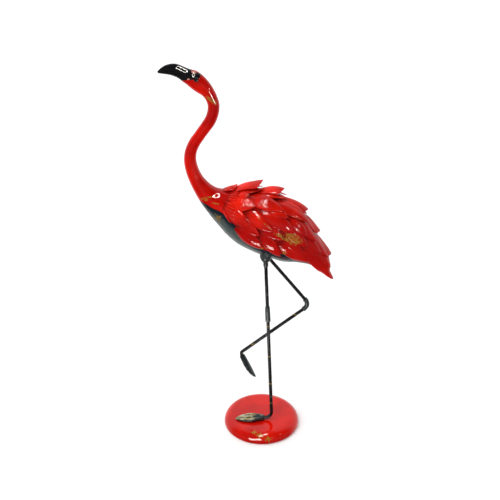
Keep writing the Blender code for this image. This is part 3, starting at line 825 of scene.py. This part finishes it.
def along_path(path, radii, sides=24, uneven=0.00008):
    """Rings round a path that lies in the bird's mid-plane, one radius for each of its points."""
    rings = []
    for i, (point, radius) in enumerate(zip(path, radii)):
        way = (path[min(i + 1, len(path) - 1)] - path[max(i - 1, 0)]).normalized()
        across = Vector((0, 1, 0))
        up = way.cross(across)
        ring = []
        for j in range(sides):
            turn = 2 * math.pi * j / sides
            spoke = across * math.cos(turn) + up * math.sin(turn)
            at = point + spoke * radius
            ring.append(at + spoke * (wobble(at, uneven, 300.0) - uneven))
        rings.append(ring)
    return rings


def finely(path, step=0.004):
    """The same path with its long runs cut into short ones."""
    fine = [path[0]]
    for a, b in zip(path, path[1:]):
        count = max(1, round((b - a).length / step))
        fine += [a.lerp(b, i / count) for i in range(1, count + 1)]
    return fine


def make_rod(name, path, node, material):
    path = finely(path)
    finished(loft(along_path(path, [ROD_RADIUS] * len(path))), name, material, node)


def make_straight_knee(name, knee, way, node, material):
    """A drawn sleeve over the two rod ends, tapered above and rolled at its lower mouth."""
    bore, half = ROD_RADIUS + SEAT_GAP, SLEEVE_LENGTH / 2
    web = SLEEVE_WEB / 2
    shape = bmesh.new()
    spun(shape, [
        (0.0, web), (bore, web), (bore, half), (bore + 0.3 * SLEEVE_WALL, half),
        (bore + 0.7 * SLEEVE_WALL, 0.93 * half), (bore + SLEEVE_WALL, 0.80 * half),
        (bore + SLEEVE_WALL + 0.0002, 0.2 * half),
        (bore + SLEEVE_LOWER_WALL - 0.0002, -0.60 * half), (bore + SLEEVE_LOWER_WALL, -0.90 * half),
        (bore + 0.9 * SLEEVE_LOWER_WALL, -0.97 * half), (bore + 0.5 * SLEEVE_LOWER_WALL, -half),
        (bore, -half), (bore, -web), (0.0, -web),
    ], knee, -way, 40)
    finished(shape, name, material, node)
    return web + SEAT_GAP


def bend_setback(radius, turn):
    return radius * math.tan(turn / 2)


def make_elbow_knee(name, knee, up_leg, down_leg, node, material):
    """A bent sleeve with flared, open lips over the two rod ends."""
    outer = ROD_RADIUS + SEAT_GAP + SLEEVE_WALL
    flare = outer + SLEEVE_LOWER_WALL - SLEEVE_WALL
    reach = bend_setback(ELBOW_BEND, math.pi - up_leg.angle(down_leg)) + ELBOW_RUN
    ends = [knee + up_leg * reach, knee + down_leg * reach]
    upper, lower = ends
    bore, inside, rim = ROD_RADIUS + SEAT_GAP, ELBOW_SOCKET_DEPTH, 0.0008
    middle = rod_path([upper, knee, lower], [ELBOW_BEND], 18)[2:-2]
    path = [upper - up_leg * inside, upper, upper, upper - up_leg * rim, upper - up_leg * LIP_LENGTH]
    path += middle
    path += [lower - down_leg * LIP_LENGTH, lower - down_leg * rim, lower, lower, lower - down_leg * inside]
    mouth = [bore, bore, flare - 0.0003, flare, outer]
    radii = mouth + [outer] * len(middle) + mouth[::-1]
    across = Vector((0, 1, 0))
    rings = []
    for i, (point, radius) in enumerate(zip(path, radii)):
        if i < len(mouth):
            way = -up_leg
        elif i >= len(path) - len(mouth):
            way = down_leg
        else:
            way = (path[i + 1] - path[i - 1]).normalized()
        up = way.cross(across)
        turns = [2 * math.pi * j / 32 for j in range(32)]
        rings.append([point + (across * math.cos(turn) + up * math.sin(turn)) * radius for turn in turns])
    finished(loft(rings), name, material, node)
    return reach - ELBOW_SOCKET_DEPTH + 2 * SEAT_GAP


def make_foot(name, heel, forward, up, node, material):
    """A webbed foot: a round shaft that spreads into three long toes with knuckles and webs between."""
    side = up.cross(forward)
    shaft = ROD_RADIUS + SEAT_GAP + SOCKET_WALL
    shaft_end = SOCKET_DEPTH + SOCKET_WALL
    sides, rows = 60, 46
    rings, rubbed = [], []
    for i in range(rows + 1):
        place = FOOT_LENGTH * i / rows
        share = (place - shaft_end) / (FOOT_LENGTH - shaft_end)
        swell = HEEL_SWELL * min(1.0, place / shaft_end) ** 0.5
        if share <= 0:
            half_width, thickness, groove = shaft * (1 + swell), 2 * shaft * (1 + HEEL_RISE * swell), 0.0
        else:
            known = [(0.0, 2 * shaft * (1 + swell) / FOOT_WIDTH, 1 + HEEL_RISE * swell)] + WEB_SECTIONS
            shares, widths, heights = zip(*known)
            half_width = float(np.interp(share, shares, widths)) * FOOT_WIDTH / 2
            thickness = float(np.interp(share, shares, heights)) * 2 * shaft
            groove = TOE_GROOVE * math.sin(math.pi * min(1.0, share)) ** 0.7
        ring, worn = [], []
        for j in range(sides):
            turn = 2 * math.pi * j / sides
            across, level = math.sin(turn), (1 + math.cos(turn)) / 2
            between = (1 - math.cos(3 * math.pi * across)) / 2
            knuckle = KNUCKLE_RISE * math.sin(share * 22) * max(0.0, share) * (1 - between)
            height = level * thickness * (1 - groove * level * between + knuckle * level) - shaft
            at = heel + forward * place + side * (across * half_width) + up * height
            ring.append(at)
            worn.append(level * (1 - 0.8 * between) * min(1.0, max(0.0, 0.55 + 1.3 * share)))
        rings.append(ring)
        rubbed.append(worn)
    shape = loft(rings)
    surface = shape.loops.layers.uv.verify()
    wear = {}
    for ring, worn in zip(rings, rubbed):
        for at, rub in zip(ring, worn):
            wear[tuple(round(c, 7) for c in at)] = rub
    for face in shape.faces:
        for loop in face.loops:
            loop[surface].uv = (wear.get(tuple(round(c, 7) for c in loop.vert.co), 0.0), 0.5)
    finished(shape, name, material, node)


def down(turn):
    return Vector((math.sin(turn), 0, -math.cos(turn)))


def make_leg(name, hip, turns, thigh, shin, ankle_bend, elbow, rod, sleeve, foot):
    """Thigh rod, knee sleeve, shin rod with its ankle bend, and foot, from the hip down."""
    thigh_way, shin_way, foot_way = (down(math.radians(turn)) for turn in turns)
    knee = hip + thigh_way * thigh
    ankle = knee + shin_way * shin
    node = name + "_knee_sleeve"
    if elbow:
        plug = make_elbow_knee(name + "_elbow", knee, -thigh_way, shin_way, node, sleeve)
    else:
        plug = make_straight_knee(name + "_knee", knee, thigh_way, node, sleeve)
    into = SOCKET_DEPTH - SEAT_GAP
    make_rod(name + "_thigh", [hip - thigh_way * into, knee - thigh_way * plug], name + "_thigh_rod", rod)
    heel = ankle + foot_way * (bend_setback(ankle_bend, shin_way.angle(foot_way)) + HEEL_RUN)
    path = rod_path([knee + shin_way * plug, ankle, heel + foot_way * into], [ankle_bend])
    make_rod(name + "_shin", path, name + "_shin_rod", rod)
    instep = foot_way.cross(Vector((0, -1, 0))).normalized()
    make_foot(name + "_webbed_foot", heel, foot_way, instep, name + "_foot", foot)


def make_flamingo():
    make_base(base_finish())
    rod, sleeve, knob = rod_finish(), sleeve_finish(), knob_finish()
    worn_foot = foot_finish("worn_foot_paint", 0.12, 1.35)
    dark_foot = foot_finish("dark_foot_paint", -0.24, 1.2)
    heel_height = BASE_THICKNESS + SEAT_GAP + ROD_RADIUS + SEAT_GAP + SOCKET_WALL
    heel = Vector((HEEL_BACK, -LEG_SPREAD / 2, heel_height))
    lean, _, flat = (down(math.radians(turn)) for turn in STANDING_TURNS)
    ankle = heel - flat * (bend_setback(STANDING_ANKLE_BEND, lean.angle(flat)) + HEEL_RUN)
    hip = ankle - lean * (STANDING_THIGH + STANDING_SHIN)
    raised_hip = hip + Vector((HIP_STAGGER, LEG_SPREAD, 0))
    make_leg("standing", hip, STANDING_TURNS, STANDING_THIGH, STANDING_SHIN, STANDING_ANKLE_BEND, False,
             rod, sleeve, worn_foot)
    make_leg("raised", raised_hip, RAISED_TURNS, RAISED_THIGH, RAISED_SHIN, RAISED_ANKLE_BEND, True,
             rod, sleeve, dark_foot)
    underside = hip - lean * COLLAR_LENGTH
    figure = Figure((underside.x, 0.0, underside.z))
    make_casting(figure, casting_finish())
    feather = feather_finish()
    make_feathers(figure, feather)
    make_fringe(figure, feather)
    eye = eye_finish()
    make_eye("left_eye", figure, 1, eye)
    make_eye("right_eye", figure, -1, eye)
    make_knob("standing_hip_knob", hip, lean, knob)
    make_knob("raised_hip_knob", raised_hip, down(math.radians(RAISED_TURNS[0])), knob)


# The studio. The ring lamp hangs overhead and glows on the shoulder. Each small lamp has its width, height
# and wave, its place, the point that it faces, and its strength.
FLOOR_PALE = (0.97, 0.97, 0.97, 1.0)
NO_COLOUR = (0.0, 0.0, 0.0, 1.0)
WHITE = (1.0, 1.0, 1.0, 1.0)
LAMP_WARM = (1.0, 0.97, 0.90, 1.0)
RING_PLACE = (0.045, -0.488, 1.265)
RING_AIM = (-0.072, -0.015, 0.446)
RING_TURN = -27.4
RING_SIZE = (0.074, 0.50)
RING_STRENGTH = 95.0
SMALL_LAMPS = [
    ("ribbon", 0.15, 0.07, 0.03, (-0.08, -0.26, 0.05), (0.0, -0.06, 0.015), 34.0),
    ("streak", 0.06, 0.10, 0.0, (0.71, -1.17, 0.55), (-0.07, 0.0, 0.60), 170.0),
    ("dot", 0.05, 0.05, 0.0, (1.15, -0.63, 1.03), (-0.10, 0.0, 0.47), 170.0),
]
WALL_RADIUS = 20.0
WALL_HEIGHT = 30.0
CAMERA_PLACE = (-0.021, -1.120, 0.870)
CAMERA_TILT = 25.1
FOCAL_PIXELS = 754.0
PICTURE_PIXELS = 500
SENSOR_WIDTH = 36.0


def make_floor():
    """A plain pale floor that the gloss doesn't show."""
    shape = bmesh.new()
    bmesh.ops.create_grid(shape, x_segments=1, y_segments=1, size=40.0)
    bmesh.ops.translate(shape, vec=(0, 0, -0.0004), verts=shape.verts)
    pale = bpy.data.materials.new("pale_floor")
    pale.use_nodes = True
    shader = pale.node_tree.nodes["Principled BSDF"]
    shader.inputs["Base Color"].default_value = FLOOR_PALE
    shader.inputs["Roughness"].default_value = 0.9
    shader.inputs["Specular IOR Level"].default_value = 0.0
    floor = placed(shape, "floor", pale)
    floor.visible_glossy = False


def make_room():
    """The light from all round: white behind the bird, faint in front and overhead, dim from below."""
    world = bpy.data.worlds.new("white_room")
    world.use_nodes = True
    bpy.context.scene.world = world
    tree = world.node_tree
    split = tree.nodes.new("ShaderNodeSeparateXYZ")
    tree.links.new(tree.nodes.new("ShaderNodeTexCoord").outputs["Generated"], split.inputs[0])

    def fade(socket, low, high, start, end):
        node = tree.nodes.new("ShaderNodeMapRange")
        node.interpolation_type = "SMOOTHSTEP"
        tree.links.new(socket, node.inputs["Value"])
        for name, value in (("From Min", low), ("From Max", high), ("To Min", start), ("To Max", end)):
            node.inputs[name].default_value = value
        return node.outputs[0]

    def together(operation, a, b):
        node = tree.nodes.new("ShaderNodeMath")
        node.operation = operation
        tree.links.new(a, node.inputs[0])
        tree.links.new(b, node.inputs[1])
        return node.outputs[0]

    behind = fade(split.outputs["Y"], -0.15, 0.35, 0.06, 1.0)
    above = fade(split.outputs["Z"], -0.05, 0.45, 0.30, 0.06)
    below = fade(split.outputs["Z"], -0.40, -0.05, 0.25, 1.0)
    light = together("MAXIMUM", behind, together("MULTIPLY", above, below))
    background = tree.nodes["Background"]
    tree.links.new(light, background.inputs["Color"])
    background.inputs["Strength"].default_value = 1.0


def glowing(name, colour, strength):
    """A material that gives light of its own."""
    glow = bpy.data.materials.new(name)
    glow.use_nodes = True
    shader = glow.node_tree.nodes["Principled BSDF"]
    shader.inputs["Base Color"].default_value = NO_COLOUR
    shader.inputs["Emission Color"].default_value = colour
    shader.inputs["Emission Strength"].default_value = strength
    return glow


def gloss_lamp(name, shape, turned, strength):
    """A glowing sheet that shows only in the gloss: matt surfaces are lit by the soft sky."""
    bmesh.ops.transform(shape, matrix=turned, verts=shape.verts)
    sheet = placed(shape, name, glowing(name, LAMP_WARM, strength))
    sheet.visible_camera = False
    sheet.visible_diffuse = False
    sheet.visible_shadow = False


def facing(place, aim):
    turn = (Vector(aim) - Vector(place)).to_track_quat("-Z", "Y").to_matrix().to_4x4()
    return Matrix.Translation(place) @ turn


def strip(wide, tall, wave):
    """A strip of cloth-like light, level or in a wave."""
    shape = bmesh.new()
    bmesh.ops.create_grid(shape, x_segments=24, y_segments=1, size=0.5)
    for vertex in shape.verts:
        bend = wave * math.sin(2 * math.pi * vertex.co.x)
        vertex.co = (vertex.co.x * wide, vertex.co.y * tall + bend, 0.0)
    return shape


def make_lamps():
    # The ring is long and narrow, because the shoulder's saddle squeezes it to a small round loop.
    ring = bmesh.new()
    spun(ring, [(0.80, 0.0), (1.0, 0.0)], Vector(), Vector((0, 0, 1)), 96)
    squeezed = Matrix.Rotation(math.radians(RING_TURN), 4, "Z") @ Matrix.Diagonal((*RING_SIZE, 1.0, 1.0))
    gloss_lamp("ring_lamp", ring, facing(RING_PLACE, RING_AIM) @ squeezed, RING_STRENGTH)
    for name, wide, tall, wave, place, aim, strength in SMALL_LAMPS:
        gloss_lamp(name, strip(wide, tall, wave), facing(place, aim), strength)
    sun = bpy.data.lights.new("soft_sky", "SUN")
    sun.energy = 2.5
    sun.angle = math.radians(60)
    sky = bpy.data.objects.new("soft_sky", sun)
    sky.rotation_euler = (math.radians(18), math.radians(-22), 0)
    sky.visible_glossy = False
    bpy.context.scene.collection.objects.link(sky)


def make_backdrop():
    """A white wall all round, which only the camera sees."""
    shape = bmesh.new()
    spun(shape, [(WALL_RADIUS, -0.01), (WALL_RADIUS, WALL_HEIGHT)], Vector(), Vector((0, 0, 1)), 48)
    white = glowing("white_wall", WHITE, 1.0)
    white.node_tree.nodes["Principled BSDF"].inputs["Specular IOR Level"].default_value = 0.0
    wall = placed(shape, "backdrop", white)
    wall.visible_glossy = False
    wall.visible_diffuse = False
    wall.visible_shadow = False


def make_camera():
    camera = bpy.data.cameras.new("camera")
    camera.sensor_width = SENSOR_WIDTH
    camera.lens = FOCAL_PIXELS / PICTURE_PIXELS * SENSOR_WIDTH
    holder = bpy.data.objects.new("camera", camera)
    holder.location = CAMERA_PLACE
    holder.rotation_euler = (math.radians(90 - CAMERA_TILT), 0, 0)
    scene = bpy.context.scene
    scene.collection.objects.link(holder)
    scene.camera = holder
    scene.view_settings.view_transform = "Standard"


make_flamingo()
make_floor()
make_room()
make_lamps()
make_backdrop()
make_camera()
